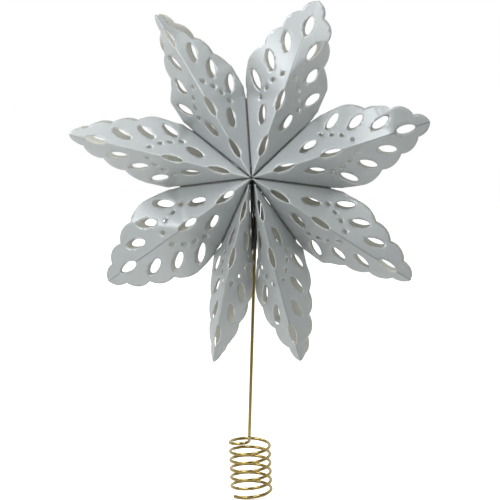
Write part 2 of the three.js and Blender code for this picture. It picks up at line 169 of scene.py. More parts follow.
class StarSizes(bpy.types.PropertyGroup):
    star_height: length("Star height", "Star's middle above the coil's foot", 0.220)
    ridge_length: length("Ridge length", "Middle of the star to the tip of a point", 0.1285)
    half_depth: length("Half depth", "Mid-plane to the front end of the seams", 0.036)
    crease_angle: angle("Crease angle", "Between a seam's folded edge and the mid-plane", 33.8)
    slim_inset: length("Slim inset", "How far out the two slim points start", 0.0038)
    sheet: length("Sheet", "Paper thickness", 0.0003)
    ridge_round: length("Ridge rounding", "Size of the round of a ridge fold", 0.0003)
    crease_round: length("Crease rounding", "Size of the round of a glued fold", 0.0002)
    crease_flap: length("Crease flap", "Paper that turns into the glued seam", 0.0018)
    crease_offset: length("Crease offset", "Middle of a seam to the fold beside it", 0.00052)
    cover_offset: length("Cover offset", "Middle of a cover to the fold beside it", 0.0006)
    cover_card: length("Cover card", "Card thickness of the two covers", 0.0008)
    hub_roll: length("Hub roll", "Radius of the rolled seam ends at the middle", 0.0006)
    mesh_step: length("Mesh step", "Spacing of the panel's surface points", 0.0025)


class StarWire(bpy.types.PropertyGroup):
    wire_radius: length("Wire radius", "Half the wire's thickness", 0.0011)
    coil_radius: length("Coil radius", "Coil's axis to the middle of the wire", 0.0135)
    coil_pitch: length("Coil pitch", "Drop of each turn of the coil", 0.00615)
    coil_turns: setting("Coil turns", "Turns of the coil", 5.875)
    bend_radius: length("Bend radius", "Bend under the straight stem", 0.003)
    lead_swing: length("Lead swing", "How far the wire swings out before the coil", 0.009)
    lead_drop: length("Lead drop", "Drop of the wire before the coil", 0.0018)
    stem_top: length("Stem top", "Top of the stem below the star's middle", 0.025)
    coil_nod: angle("Coil nod", "Lean of the coil's top toward the front", 10.0)
    coil_tilt: angle("Coil tilt", "Lean of the coil's top toward the left", 2.7)
    strap_top: length("Strap top", "Top of the strap below the star's middle", 0.035)
    strap_length: length("Strap length", "Length of the strap along the stem", 0.016)
    strap_wing: length("Strap wing", "Reach of the strap to each side of the wire", 0.005)
    magnet_radius: length("Magnet radius", "Half the width of a magnet", 0.004)
    magnet_thickness: length("Magnet thickness", "Thickness of a magnet", 0.0006)
    magnet_out: length("Magnet place", "Star's axis to the middle of a magnet", 0.024)
    magnet_depth: length("Magnet depth", "Mid-plane to the middle of a magnet", 0.012)


class StarFinish(bpy.types.PropertyGroup):
    silver: colour("Silver coating", "Pearl coating on the outside of the paper", "#b1b7ba")
    inside: colour("Inside", "Uncoated inside of the paper", "#ebeae3")
    cut_edge: colour("Cut edge", "Bare edge and worn fold of the paper", "#dcdcd9")
    # Painted shade: the covers' card is set darker than its coating, as the slot by the stem is dark.
    card: colour("Card", "Coated card of the covers", "#7d8386")
    # Painted shade: the strap is set darker than plain paper, as it lies in the dark slot by the stem.
    strap: colour("Strap", "Plain paper of the strap", "#7f7a70")
    brass: colour("Brass", "Bright drawn wire", "#a8955a")
    nickel: colour("Nickel", "Plating of the magnets", "#c4c6c8")


class StarStage(bpy.types.PropertyGroup):
    distance: length("Camera distance", "Camera to the star's middle", 2.7)
    azimuth: angle("Camera azimuth", "Camera toward the star's right", 4.2)
    elevation: angle("Camera elevation", "Camera above the star's middle", 3.6)
    roll: angle("Camera roll", "Turn of the picture", 1.28)
    frame_width: length("Frame width", "Width of the view at the star", 0.34)
    front_power: setting("Front lamp", "Lamp at the front left", 2.6, "POWER")
    side_power: setting("Side lamp", "High lamp at the left side", 2.3, "POWER")
    right_power: setting("Right lamp", "High lamp at the front right", 2.7, "POWER")
    fill: setting("Surroundings", "Light of the room's front side", 0.13)
    room_front: setting("Room front", "The room's front side in reflections", 0.03)


def add_node(tree, kind, values=None, **settings):
    """Adds a node with its settings, and sets or links each named socket."""
    node = tree.nodes.new("ShaderNode" + kind)
    for key, value in settings.items():
        setattr(node, key, value)
    for socket, value in (values or {}).items():
        if isinstance(value, bpy.types.NodeSocket):
            tree.links.new(value, node.inputs[socket])
        else:
            node.inputs[socket].default_value = value
    return node


def new_material(name):
    """An empty node material and its tree."""
    material = bpy.data.materials.new(name)
    material.use_nodes = True
    material.node_tree.nodes.clear()
    return material, material.node_tree


def shade(colour_value, factor):
    """Opaque colour scaled in brightness, for a socket."""
    return tuple(min(c * factor, 1.0) for c in colour_value) + (1.0,)


def noise(tree, size, detail, roughness=0.5):
    """Noise in the object's own space, with features of a size in metres."""
    place = add_node(tree, "TexCoord").outputs["Object"]
    values = {"Vector": place, "Scale": 1 / size, "Detail": detail, "Roughness": roughness}
    return add_node(tree, "TexNoise", values).outputs["Fac"]


def remap(tree, value, start, end, low, high):
    """A value's run from start to end spread over low to high, and held there."""
    return add_node(tree, "MapRange", {"Value": value, 1: start, 2: end, 3: low, 4: high}).outputs["Result"]


def blend(tree, share, first, second):
    """Mix of two colours."""
    return add_node(tree, "Mix", {0: share, 6: first, 7: second}, data_type="RGBA").outputs[2]


def reckon(tree, operation, first, second):
    """One sum on two values."""
    return add_node(tree, "Math", {0: first, 1: second}, operation=operation).outputs[0]


def relief(tree, height, strength, distance):
    """Fine relief from a height, its depth in metres."""
    values = {"Height": height, "Strength": strength, "Distance": distance}
    return add_node(tree, "Bump", values).outputs["Normal"]


def show(tree, values, through=None, glow=0.0):
    """Puts the surface on the output, with a share of glow from light on the other side."""
    shader = add_node(tree, "BsdfPrincipled", values).outputs[0]
    if through is not None:
        behind = add_node(tree, "BsdfTranslucent", {"Color": through}).outputs[0]
        shader = add_node(tree, "MixShader", {0: glow, 1: shader, 2: behind}).outputs[0]
    add_node(tree, "OutputMaterial", {"Surface": shader})


# Silver pearl paper: wood-pulp paper with a rolled-on pearl coating. It gives the eye a
# soft satin grey that brightens toward the light, with a fine mottle of fibres under the
# coating, pale lines on folds, partly cracked coating and partly painted highlight, and
# dark lines of painted shade along glued folds, on the seams and on some ridges.
def silver_pearl_paper(name, finish):
    material, tree = new_material(name)
    # Fibres are 0.03 mm wide, too fine to show, so the mottle is drawn 0.9 mm coarse.
    mottle = noise(tree, 0.0009, 3.0, 0.6)
    # The coating is uneven over stretches of about 9 mm.
    cloud = noise(tree, 0.009, 2.0)
    fold = add_node(tree, "Attribute", attribute_name="fold_wear_and_shade").outputs["Fac"]
    silver = finish.silver
    tone = blend(tree, remap(tree, mottle, 0.3, 0.7, 0.0, 1.0), shade(silver, 0.9), shade(silver, 1.08))
    tone = blend(tree, remap(tree, cloud, 0.35, 0.65, 0.0, 0.35), tone, shade(silver, 0.94))
    # Pale fold lines: bare paper where a fold has cracked the coating, partly painted highlight.
    tone = blend(tree, remap(tree, fold, 0.0, 1.0, 0.0, 0.5), tone, shade(finish.cut_edge, 1.0))
    # Dark lines: painted shade of the grooves at glued folds, of the seams and of shaded ridges.
    tone = blend(tree, remap(tree, fold, 0.0, -1.0, 0.0, 0.8), tone, shade(silver, 0.3))
    show(tree, {
        "Base Color": tone, "Metallic": 0.35, "Roughness": remap(tree, mottle, 0.3, 0.7, 0.36, 0.5),
        "IOR": 1.5, "Normal": relief(tree, mottle, 0.35, 0.00008),
    }, shade(finish.inside, 1.0), 0.18)
    return material


# Uncoated paper: the bare inside of the sheet, matt and faintly warm, with a slight fibre
# tooth. Like all thin paper it glows a little when it is lit from the other side.
def uncoated_paper(name, base, glow):
    material, tree = new_material(name)
    # Clumps of fibres show as a mottle of about 1.2 mm.
    clumps = noise(tree, 0.0012, 4.0, 0.65)
    tone = blend(tree, clumps, shade(base, 0.93), shade(base, 1.05))
    show(tree, {
        "Base Color": tone, "Roughness": 0.9, "IOR": 1.45, "Normal": relief(tree, clumps, 0.4, 0.0001),
    }, tone, glow)
    return material


# Coated card: stiffer and duller than the paper, with the same satin coating. Its colour is
# set darker than the coating, as painted shade of the slot by the stem where the covers stand.
def coated_card(name, finish):
    material, tree = new_material(name)
    # Card shows a felt mark of about 1.5 mm.
    felt = noise(tree, 0.0015, 3.0)
    show(tree, {
        "Base Color": blend(tree, felt, shade(finish.card, 0.9), shade(finish.card, 1.06)),
        "Metallic": 0.25, "Roughness": 0.55, "IOR": 1.5, "Normal": relief(tree, felt, 0.3, 0.0001),
    })
    return material


# Brass: wire drawn bright through a die. Golden and mirror-like along its length, with
# faint drawing marks and slightly darker stretches where fingers have dulled it.
def drawn_brass(name, finish):
    material, tree = new_material(name)
    # Handling has dulled it over stretches of about 7 mm.
    touch = noise(tree, 0.007, 3.0)
    # Drawing marks are about 0.25 mm apart.
    marks = noise(tree, 0.00025, 1.0)
    show(tree, {
        "Base Color": blend(tree, touch, shade(finish.brass, 0.86), shade(finish.brass, 1.06)),
        "Metallic": 1.0, "Roughness": remap(tree, touch, 0.3, 0.7, 0.1, 0.2),
        "Normal": relief(tree, marks, 0.12, 0.00003),
    })
    return material


# Nickel plate: barrel-plated steel, cool and bright with a soft blur to its reflections.
def nickel_plate(name, finish):
    material, tree = new_material(name)
    # Tumbling leaves a soft unevenness of about 0.8 mm.
    tumble = noise(tree, 0.0008, 2.0)
    show(tree, {
        "Base Color": shade(finish.nickel, 1.0), "Metallic": 1.0,
        "Roughness": remap(tree, tumble, 0.3, 0.7, 0.2, 0.34),
    })
    return material


def finish_named(name, maker, *values):
    """The material of that name, made the first time it is asked for."""
    return bpy.data.materials.get(name) or maker(name, *values)


def put_mesh(name, points, faces, body, slot, node, materials, groups=None, flat=None, wear_and_shade=None):
    """Writes points (mm) and faces as one mesh, ties it to its body and hides its solid.

    groups is the material number of each face, flat marks faces that aren't smoothed, and
    the wear and shade number on each point runs from 1 on a pale fold, worn coating and
    painted highlight, to -1 on a dark line of painted shade.
    """
    mesh = bpy.data.meshes.new(name)
    mesh.from_pydata((points * MM).tolist(), [], faces)
    for material in materials:
        mesh.materials.append(material)
    smooth = np.ones(len(mesh.polygons), dtype=bool) if flat is None else ~flat
    mesh.polygons.foreach_set("use_smooth", smooth)
    if groups is not None:
        mesh.polygons.foreach_set("material_index", groups.astype(np.int32))
    if wear_and_shade is not None:
        layer = mesh.attributes.new("fold_wear_and_shade", "FLOAT", "POINT")
        layer.data.foreach_set("value", wear_and_shade.astype(np.float32))
    mesh.update()
    piece = bpy.data.objects.new(name, mesh)
    bpy.context.scene.collection.objects.link(piece)
    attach(piece, body)
    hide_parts(node)


def stretch(start, end, step):
    """Even points on the straight from start up to, and without, end."""
    count = max(1, int(math.ceil(math.dist(start, end) / step)))
    share = np.arange(count)[:, None] / count
    return np.array(start) * (1 - share) + np.array(end) * share


def arc(start, end, bulge, step):
    """Points of a circular arc to the left of its chord, which rises by bulge shares of it."""
    start, end = np.array(start), np.array(end)
    chord = end - start
    size = np.hypot(*chord)
    rise = bulge * size
    radius = (size ** 2 / 4 + rise ** 2) / (2 * rise)
    left = np.array((-chord[1], chord[0])) / size
    centre = (start + end) / 2 + left * (rise - radius)
    sweep = 2 * math.asin(size / (2 * radius))
    count = max(6, int(math.ceil(sweep * radius / step)))
    turned = -sweep * np.arange(count) / count
    arm = start - centre
    return centre + np.stack((
        arm[0] * np.cos(turned) - arm[1] * np.sin(turned),
        arm[0] * np.sin(turned) + arm[1] * np.cos(turned),
    ), axis=1)


def oval(centre, half_length, half_width, tilt, first, last, count):
    """Points of a turned ellipse, from one angle up to, and without, the other."""
    turned = first + (last - first) * np.arange(count) / count
    x, y = half_length * np.cos(turned), half_width * np.sin(turned)
    return np.stack((
        centre[0] + x * math.cos(tilt) - y * math.sin(tilt),
        centre[1] + x * math.sin(tilt) + y * math.cos(tilt),
    ), axis=1)


def inside(spots, loops):
    """Even-odd test of each spot against the edges of all loops together."""
    hits = np.zeros(len(spots), dtype=int)
    for loop in loops:
        ahead = np.roll(loop, -1, axis=0)
        low, high = loop[:, 1], ahead[:, 1]
        y = spots[:, 1:2]
        spans = (low > y) != (high > y)
        rise = np.where(high == low, 1.0, high - low)
        crossing = loop[:, 0] + (y - low) / rise * (ahead[:, 0] - loop[:, 0])
        hits += np.sum(spans & (crossing > spots[:, 0:1]), axis=1)
    return hits % 2 == 1


def fold_point(sizes, point):
    """One point's fold. The flat bag's opening tips the ridge down by dip and leans the panels.

    Past the valley end the ridge bows and the lean runs to its value at the tip, and both
    are held so that the panel stays on its own side of the mid-plane.
    """
    depth = sizes.half_depth / MM
    ridge = sizes.ridge_length / MM
    inset = sizes.slim_inset / MM if point.slim else 0.0
    seam = depth / math.tan(sizes.crease_angle) - inset
    half = math.radians(point.opening) / 2
    steep = depth / seam
    crease = math.atan(steep)
    dip = math.atan2(steep, math.cos(half)) - math.acos(1 / math.hypot(math.cos(half), steep))
    lean = math.asin((depth - seam * math.sin(dip)) / (depth * math.cos(dip)))

    along = np.linspace(-2.0, ridge + 2.0, 800)
    step = along[1] - along[0]
    tilt = dip + math.radians(point.bow) * np.clip(along - seam, 0.0, None)
    out = np.cumsum(np.cos(tilt)) * step
    fall = np.cumsum(np.sin(tilt)) * step
    out -= np.interp(0.0, along, out)
    fall -= np.interp(0.0, along, fall)
    height = RIDGE_FLOOR + np.logaddexp(0.0, depth - fall - RIDGE_FLOOR)
    ridge_dip = -np.arctan2(np.gradient(height), np.gradient(out))

    stops = np.array([CORNER, *NOTCHES, (1.0, 0.0)]) * (ridge, depth) - (inset, 0.0)
    reach = np.interp(along, np.r_[seam, stops[:, 0]], np.r_[depth, stops[:, 1]]) + EDGE_SPARE
    limit = np.arcsin(np.clip((height - EDGE_ROOM) / (reach * np.cos(ridge_dip)), 0.0, 1.0))
    share = np.clip((along - seam) / (LEAN_DONE * ridge - inset - seam), 0.0, 1.0)
    share = 1 - (1 - share) ** LEAN_EASE
    aside = point.bend * (np.clip(along - seam, 0.0, None) / (ridge - inset - seam)) ** 2
    ease = np.clip((along - seam) / 5.0, 0.0, 1.0)
    kernel = np.hanning(31) / np.hanning(31).sum()
    leans = []
    for tip in (point.lean_a, point.lean_b):
        wanted = np.minimum(lean + (math.radians(tip) - lean) * share, limit)
        change = np.convolve(np.pad(wanted - lean, 15, mode="edge"), kernel, mode="valid")
        leans.append(lean + np.where(along < seam, 0.0, change * ease))
    # The ridge line is pale by the hub and takes the point's tone outward; where dark, it is painted shade.
    crest = 1.0 + (point.crest - 1.0) * np.clip((along - 0.25 * ridge) / (0.25 * ridge), 0.0, 1.0)
    sway = math.tan(math.radians(point.sway))
    return Fold(
        half, inset, seam, crease, sway, dip, lean, along, out, aside, height, ridge_dip, *leans, limit, crest
    )


def stand_plates(sizes, folds):
    """Plates and point middles round the hub, each point's apex beside the plate before it."""
    turned = -math.pi / 2
    origin = np.zeros(2)
    plates = []
    last = len(folds)
    for k in range(last + 1):
        offset = (sizes.cover_offset if k in (0, last) else sizes.crease_offset) / MM
        along = np.array((math.cos(turned), math.sin(turned)))
        normal = np.array((math.sin(turned), -math.cos(turned)))
        hinge = None
        if k:
            before, fold = plates[-1], folds[k - 1]
            before_offset = (sizes.cover_offset if k == 1 else sizes.crease_offset) / MM
            hinge = before.origin + before.along * fold.inset + before.normal * before_offset
            origin = hinge + normal * offset - along * fold.inset
        plates.append(Plate(along, normal, origin, hinge, turned))
        if k < last:
            turned -= 2 * folds[k].half
    middle = np.mean([plate.origin for plate in plates[1:-1]], axis=0)
    shift = np.array((-HUB_ASIDE, sizes.star_height / MM - middle[1]))
    return [
        plate._replace(origin=plate.origin + shift, hinge=None if plate.hinge is None else plate.hinge + shift)
        for plate in plates
    ]


def on_plate(plate, outward, off, depth):
    """Star's place of measures on a plate: outward from the hub, off its face, toward the front."""
    outward, off, depth = np.broadcast_arrays(outward, off, depth)
    flat = plate.origin + outward[..., None] * plate.along + off[..., None] * plate.normal
    return np.stack((flat[..., 0], -depth, flat[..., 1]), axis=-1)


def cut_pattern(sizes, fold):
    """Flat panel as a triangle mesh: outline, cut-outs, and rows of points beside the folds."""
    depth = sizes.half_depth / MM
    ridge = sizes.ridge_length / MM
    flap = sizes.crease_flap / MM
    step = sizes.mesh_step / MM
    fine = step / 2
    eye_length, eye_width = EYE_LENGTH * ridge / 2, EYE_WIDTH * depth / 2
    cos_crease, sin_crease = math.cos(fold.crease), math.sin(fold.crease)

    def by_crease(run, off):
        return (fold.inset + run * cos_crease + off * sin_crease, run * sin_crease - off * cos_crease)

    run_end = math.hypot(fold.seam, depth) - 0.3
    flap_end = run_end - 1.7 * flap
    stops = [tuple(np.array(share) * (ridge, depth)) for share in (CORNER, *NOTCHES, (1.0, 0.0))]
    outline = [
        stretch(by_crease(PATTERN_START, 0.0), by_crease(1.6, -flap), fine),
        stretch(by_crease(1.6, -flap), by_crease(flap_end, -flap), fine),
        stretch(by_crease(flap_end, -flap), by_crease(run_end, 0.0), fine),
        stretch(by_crease(run_end, 0.0), stops[0], fine),
    ]
    for i, bulge in enumerate(SCALLOP_BULGES):
        outline.append(arc(stops[i], stops[i + 1], bulge, fine))
    at = (ridge, 0.0)
    for share in reversed(RIDGE_EYES):
        outline.append(stretch(at, (share * ridge + eye_length, 0.0), fine))
        outline.append(oval((share * ridge, 0.0), eye_length, eye_width, 0.0, 0.0, math.pi, 20))
        at = (share * ridge - eye_length, 0.0)
    outline.append(stretch(at, (fold.inset + PATTERN_START, 0.0), fine))
    loops = [np.concatenate(outline)]
    cuts = [(*eye, eye_length, eye_width, 36) for eye in SIDE_EYES]
    cuts += [(*dot, 0.0, DOT_DIAMETER / 2, DOT_DIAMETER / 2, 18) for dot in DOTS]
    for out, across, tilt, long, wide, count in cuts:
        centre = (out * ridge, across * depth)
        loops.append(oval(centre, long, wide, math.radians(tilt), 0.0, 2 * math.pi, count))

    columns = np.arange(fold.inset + PATTERN_START + fine, ridge, fine)
    rows = np.array((0.14, 0.32, 0.6, 1.1, 1.9))
    beside_ridge = np.stack(np.meshgrid(columns, rows), axis=-1).reshape(-1, 2)
    offs = (-1.2, -0.7, -0.4, -0.2, -0.05, 0.05, 0.2, 0.5, 1.1)
    runs, offs = np.meshgrid(np.arange(PATTERN_START + fine, run_end - fine, fine), offs)
    beside_crease = np.stack(by_crease(runs, offs), axis=-1).reshape(-1, 2)
    grid = np.stack(np.meshgrid(
        np.arange(fold.inset + step, ridge, step), np.arange(rows[-1] + step / 2, depth, step)), axis=-1)
    grid[::2, :, 0] += step / 2
    spots = np.concatenate((beside_ridge, beside_crease, grid.reshape(-1, 2)))
    spots = spots[inside(spots, loops)]
    edge = np.concatenate(loops)
    gap = np.sqrt(((spots[:, None, :] - edge[None, :, :]) ** 2).sum(axis=2)).min(axis=1)
    spots = spots[gap > EDGE_BARE]

    corners = np.concatenate((*loops, spots))
    edges, first = [], 0
    for loop in loops:
        ring = np.arange(first, first + len(loop))
        edges.append(np.stack((ring, np.roll(ring, -1)), axis=1))
        first += len(loop)
    found = delaunay_2d_cdt(
        [Vector(spot) for spot in corners.tolist()], np.concatenate(edges).tolist(), [], 0, 1e-6
    )
    flat = np.array([tuple(spot) for spot in found[0]])
    triangles = np.array(found[2])
    middle = flat[triangles].mean(axis=1)
    triangles = triangles[inside(middle, loops)]
    one, two, three = (flat[triangles[:, i]] for i in range(3))
    ahead, aside = two - one, three - one
    area = ahead[:, 0] * aside[:, 1] - ahead[:, 1] * aside[:, 0]
    triangles[area < 0] = triangles[area < 0][:, ::-1]
    used, renumbered = np.unique(triangles, return_inverse=True)
    triangles = renumbered.reshape(-1, 3)
    pairs = np.concatenate([triangles[:, (i, (i + 1) % 3)] for i in range(3)])
    total = len(used)
    forward = pairs[:, 0] * total + pairs[:, 1]
    backward = pairs[:, 1] * total + pairs[:, 0]
    rim = pairs[~np.isin(forward, backward)]
    return flat[used], triangles, rim


def fold_sheet(sizes, fold, side, bend, curl, flat):
    """Folded place of flat spots: outward and sideways from the point's middle, and depth.

    The panel hangs from the ridge and leans by an angle that changes along it. A bend adds
    a change of lean past a slanting line and a curl adds one that grows across, so the place
    is the sum of the lean's cosine and sine over even steps across the panel. The sway moves
    the ridge aside and fades to nothing at the crease. The fold at the ridge is a
    hyperbola's round, and so is the fold at the crease, where the flap turns into the
    seam's plane.
    """
    along, across = flat[:, 0] - fold.inset, flat[:, 1]
    out = np.interp(along, fold.along, fold.ridge_out)
    depth = np.interp(along, fold.along, fold.ridge_depth)
    dip = np.interp(along, fold.along, fold.ridge_dip)
    width = np.clip(along / fold.seam, 0.01, 1.0) * fold.seam * math.tan(fold.crease)
    sway = fold.sway * along * np.clip(1.0 - across / width, 0.0, 1.0)
    aside = (np.interp(along, fold.along, fold.ridge_aside) + sway) * (1.0 if side == "a" else -1.0)
    tilt = np.interp(along, fold.along, fold.lean_a if side == "a" else fold.lean_b)[:, None]
    steps = across[:, None] * (np.arange(LEAN_STEPS) + 0.5) / LEAN_STEPS
    slack = 1.0
    if curl:
        fade = math.radians(curl) * np.clip((fold.along[-1] - along) / (fold.along[-1] - fold.seam), 0.05, 1.0)
        tilt = tilt + fade[:, None] * np.clip(2.0 * steps / width[:, None] - 1.0, -1.0, 1.0)
        slack = fade / np.sin(fade)
    if bend:
        past = along[:, None] + fold.inset - bend.share * sizes.ridge_length / MM - bend.slope * steps
        share = np.clip(past / bend.width + 0.5, 0.0, 1.0)
        share = share ** 2 * (3 - 2 * share)
        limit = np.interp(along, fold.along, fold.limit)[:, None]
        tilt = np.minimum(tilt + (math.radians(bend.lean) - tilt) * share, np.maximum(limit, tilt))
    down = slack * np.sin(tilt).mean(axis=1) * np.hypot(across, sizes.ridge_round / MM)
    sideways = aside + slack * np.cos(tilt).mean(axis=1) * across
    place = np.stack((out - down * np.sin(dip), sideways, depth - down * np.cos(dip)), axis=1)

    cos_crease, sin_crease = math.cos(fold.crease), math.sin(fold.crease)
    from_crease = along * sin_crease - across * cos_crease
    turned_in = (np.hypot(from_crease, sizes.crease_round / MM) - from_crease) / 2
    ridge_way = np.array((math.cos(fold.dip), 0.0, -math.sin(fold.dip)))
    sin_lean = math.sin(fold.lean)
    across_way = np.array((
        -sin_lean * math.sin(fold.dip), math.cos(fold.lean), -sin_lean * math.cos(fold.dip)
    ))
    panel_way = ridge_way * sin_crease - across_way * cos_crease
    flap_way = np.array((
        -sin_crease * math.cos(fold.half), -sin_crease * math.sin(fold.half), -cos_crease
    ))
    return place + turned_in[:, None] * (panel_way + flap_way)


def fold_wear_and_shade(fold, flat):
    """Tone of flat spots: a bell curve on the ridge fold, pale worn coating and painted highlight
    or dark painted shade, less a soft step at the glued fold, painted shade of its groove.

    The step is a logistic curve that goes dark on the flap's side of the fold, where a wide
    bell curve holds it.
    """
    run = flat[:, 0] - fold.inset
    crest = np.exp(-(flat[:, 1] / CREST_WIDTH) ** 2) * np.interp(run, fold.along, fold.crest)
    from_crease = run * math.sin(fold.crease) - flat[:, 1] * math.cos(fold.crease)
    held = np.exp(-(np.minimum(from_crease, 0.0) / FLAP_WIDTH) ** 2)
    valley = held / (1.0 + np.exp(VALLEY_EDGE * (from_crease - VALLEY_WIDTH)))
    return crest - valley * (run < fold.seam)


def add_panel(sizes, finish, pattern, fold, number, face, side, plates):
    """One panel: the flat pattern folded, given its thickness, and stood in its place."""
    flat, triangles, rim = pattern
    nudge = 0.01
    bend = BENDS.get((number, side)) if face == "front" else None
    curl = CURLS.get((number, side))

    def folded(move_along, move_across):
        return fold_sheet(sizes, fold, side, bend, curl, flat + (move_along, move_across))

    place = folded(0.0, 0.0)
    along_way = folded(nudge, 0.0) - folded(-nudge, 0.0)
    across_way = folded(0.0, nudge) - folded(0.0, -nudge)
    outer_way = np.cross(across_way, along_way)
    outer_way /= np.linalg.norm(outer_way, axis=1)[:, None]
    if outer_way[:, 2].mean() < 0:
        outer_way = -outer_way
    lift = outer_way * sizes.sheet / MM / 2
    both = np.concatenate((place + lift, place - lift))

    before = plates[number - 1]
    middle_angle = before.angle - fold.half
    hand = 1.0 if side == "a" else -1.0
    facing = 1.0 if face == "front" else -1.0
    ahead = np.array((math.cos(middle_angle), math.sin(middle_angle)))
    aside = hand * np.array((-ahead[1], ahead[0]))
    level = plates[number].hinge + both[:, :1] * ahead + both[:, 1:2] * aside
    points = np.stack((level[:, 0], -facing * both[:, 2], level[:, 1]), axis=1)

    count = len(flat)
    outer = triangles if hand * facing > 0 else triangles[:, ::-1]
    inner = outer[:, ::-1] + count
    edge = rim if hand * facing > 0 else rim[:, ::-1]
    walls = np.stack((edge[:, 1], edge[:, 0], edge[:, 0] + count, edge[:, 1] + count), axis=1)
    faces = outer.tolist() + inner.tolist() + walls.tolist()
    groups = np.repeat((0, 1, 2), (len(outer), len(inner), len(walls)))
    # Pale ridge lines and painted shade along the glued fold, alike on both faces of the sheet.
    wear_and_shade = np.tile(fold_wear_and_shade(fold, flat), 2)
    node = f"point_{number}_{face}_{side}"
    materials = [
        finish_named("silver pearl coated paper", silver_pearl_paper, finish),
        finish_named("uncoated paper inside", uncoated_paper, finish.inside, 0.65),
        finish_named("cut paper edge", uncoated_paper, finish.cut_edge, 0.1),
    ]
    put_mesh(f"paper_{node}", points, faces, node, "silver_paper", node, materials, groups, groups == 2, wear_and_shade)


def closed_grid(points):
    """Points and outward faces of a tube of rings with flat fans over its two ends."""
    rows, columns = points.shape[:2]
    ends = np.stack((points[0].mean(axis=0), points[-1].mean(axis=0)))
    ring = np.arange(columns)
    ahead = np.roll(ring, -1)
    first = np.full(columns, rows * columns)
    last_ring = (rows - 1) * columns
    start = np.arange(rows - 1)[:, None] * columns
    sides = np.stack((start + ring, start + ahead, start + columns + ahead, start + columns + ring), axis=-1)
    faces = sides.reshape(-1, 4).tolist()
    faces += np.stack((first, ahead, ring), axis=1).tolist()
    faces += np.stack((first + 1, last_ring + ring, last_ring + ahead), axis=1).tolist()
    corners = np.concatenate((points.reshape(-1, 3), ends))
    return corners, outward_faces(corners, faces)


def outward_faces(points, faces):
    """Turns all faces round if the volume that they enclose comes out negative."""
    six_volumes = 0.0
    for face in (np.array([f for f in faces if len(f) == n]) for n in (3, 4)):
        if len(face):
            for i in range(1, face.shape[1] - 1):
                one, two, three = points[face[:, 0]], points[face[:, i]], points[face[:, i + 1]]
                six_volumes += np.einsum("ij,ij->", one, np.cross(two, three))
    return faces if six_volumes > 0 else [face[::-1] for face in faces]


def full_turn(count):
    """Even angles round a full turn."""
    return np.linspace(0.0, 2 * math.pi, count, endpoint=False)


def squared(wave, power):
    """A sine or cosine pressed toward a square wave by a power below one."""
    return np.sign(wave) * np.abs(wave) ** power


def plate_surface(sizes, plate, inset, thickness):
    """A seam or cover: a lens-edged slab over the triangle between apexes and valley end.

    Each ring round the slab is a flattened oval whose half height falls evenly to the
    valley end. The second parameter runs round the oval.
    """
    depth = sizes.half_depth / MM
    valley = depth / math.tan(sizes.crease_angle)
    outward = np.linspace(inset, valley - 1.5 * PLATE_RECESS - 0.4, 40)
    half_height = (depth - PLATE_RECESS * 1.2) * (valley - outward) / (valley - inset) - PLATE_RECESS * 0.4
    turned = full_turn(32)
    round_edge = squared(np.cos(turned), 0.25)
    flat_side = squared(np.sin(turned), 0.6)
    return on_plate(
        plate, outward[:, None], thickness / 2 * flat_side[None, :], half_height[:, None] * round_edge[None, :]
    )


def roll_surface(sizes, plate):
    """Rolled seam end on the star's axis: a round rod with turned-over ends."""
    depth = sizes.half_depth / MM - 0.9
    radius = sizes.hub_roll / MM
    shares = np.sin(np.linspace(-math.pi / 2, math.pi / 2, 24))
    thick = radius * np.clip((1 - np.abs(shares) ** 40), 0.15, 1.0)
    turned = full_turn(16)
    return np.stack(np.broadcast_arrays(
        plate.origin[0] + thick[:, None] * np.cos(turned),
        (depth * shares)[:, None],
        plate.origin[1] + thick[:, None] * np.sin(turned),
    ), axis=-1)


def wire_path(wire, top):
    """Middle of the wire: straight stem, quarter bend, swing out, coil, and a level end.

    The coil is a helix that winds clockwise from above as it goes down. The swing is a
    Bezier curve from the bend to the coil's first spot. All below the stem then leans about
    a spot in the coil, and the stem's lower part goes aside with it, more toward its foot.
    """
    radius, coil, pitch = wire.wire_radius / MM, wire.coil_radius / MM, wire.coil_pitch / MM
    bend, swing, drop = wire.bend_radius / MM, wire.lead_swing / MM, wire.lead_drop / MM
    coil_top = radius + wire.coil_turns * pitch
    lead_top = coil_top + drop
    stem_z = np.r_[top, np.linspace(top - 0.25, lead_top + bend, 40, endpoint=False)]
    stem = np.stack((0 * stem_z, 0 * stem_z, stem_z), axis=1)
    turned = np.linspace(0.0, math.pi / 2, 12, endpoint=False)
    quarter = np.stack((
        0 * turned, -bend * (1 - np.cos(turned)), lead_top + bend * (1 - np.sin(turned)),
    ), axis=1)
    t = np.linspace(0.0, 1.0, 24, endpoint=False)[:, None]
    corners = np.array(((0, -bend), (0, -bend - swing), (-coil, -swing), (-coil, 0)))
    lead = ((1 - t) ** 3 * corners[0] + 3 * (1 - t) ** 2 * t * corners[1]
            + 3 * (1 - t) * t ** 2 * corners[2] + t ** 3 * corners[3])
    lead = np.concatenate((lead, lead_top - drop * t ** 2), axis=1)
    wound = np.linspace(0.0, 2 * math.pi * wire.coil_turns, int(72 * wire.coil_turns))
    around = math.pi - wound
    helix = np.stack((
        coil * np.cos(around), coil * np.sin(around), coil_top - pitch * wound / (2 * math.pi),
    ), axis=1)
    heading = helix[-1] - helix[-2]
    heading[2] = 0.0
    heading /= np.linalg.norm(heading)
    level = helix[-1] + np.array((0.9, 1.8, 2.0))[:, None] * radius * heading
    pivot = np.array((0.0, 0.0, 0.75 * coil_top))
    lean = np.array(Matrix.Rotation(wire.coil_nod, 3, "X") @ Matrix.Rotation(-wire.coil_tilt, 3, "Y"))
    lower = (np.concatenate((quarter, lead, helix, level)) - pivot) @ lean.T + pivot
    aside = lower[0] - quarter[0]
    share = np.clip((top - 30.0 - stem_z) / (top - 30.0 - quarter[0, 2]), 0.0, 1.0)[:, None]
    return np.concatenate((stem + share * aside, lower)), len(stem) + len(quarter)


